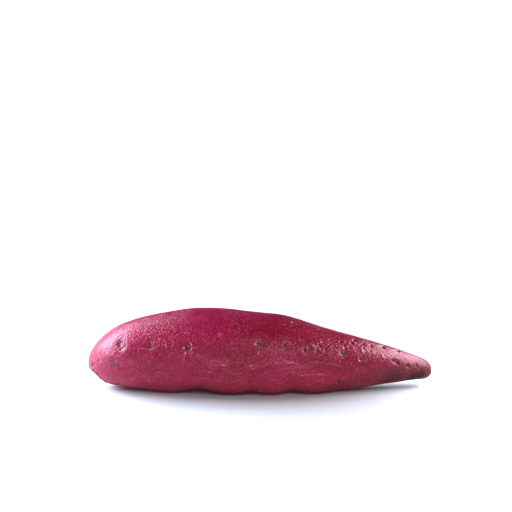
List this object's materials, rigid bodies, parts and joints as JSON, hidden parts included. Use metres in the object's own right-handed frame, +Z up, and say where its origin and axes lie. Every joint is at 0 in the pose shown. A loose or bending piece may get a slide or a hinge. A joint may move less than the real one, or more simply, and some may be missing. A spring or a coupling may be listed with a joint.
{
  "type": "sweet potato",
  "caption": "A whole raw sweet potato with purple-red skin, plump towards its blunt stem end and tapered to its root tip, lying on its belly.",
  "frame": {"origin": "middle of the root's length and width, at the surface that it lies on", "axes": "+X along the root from its blunt stem end to its tapered root tip, +Z up from the surface, -Y towards the side seen in the picture"},
  "size_m": [0.2024, 0.0508, 0.0492],
  "materials": {
    "skin": "waxy skin, satin, finely wrinkled"
  },
  "bodies": {
    "root": {"sweet_potato": "skin"}
  },
  "joints": []
}
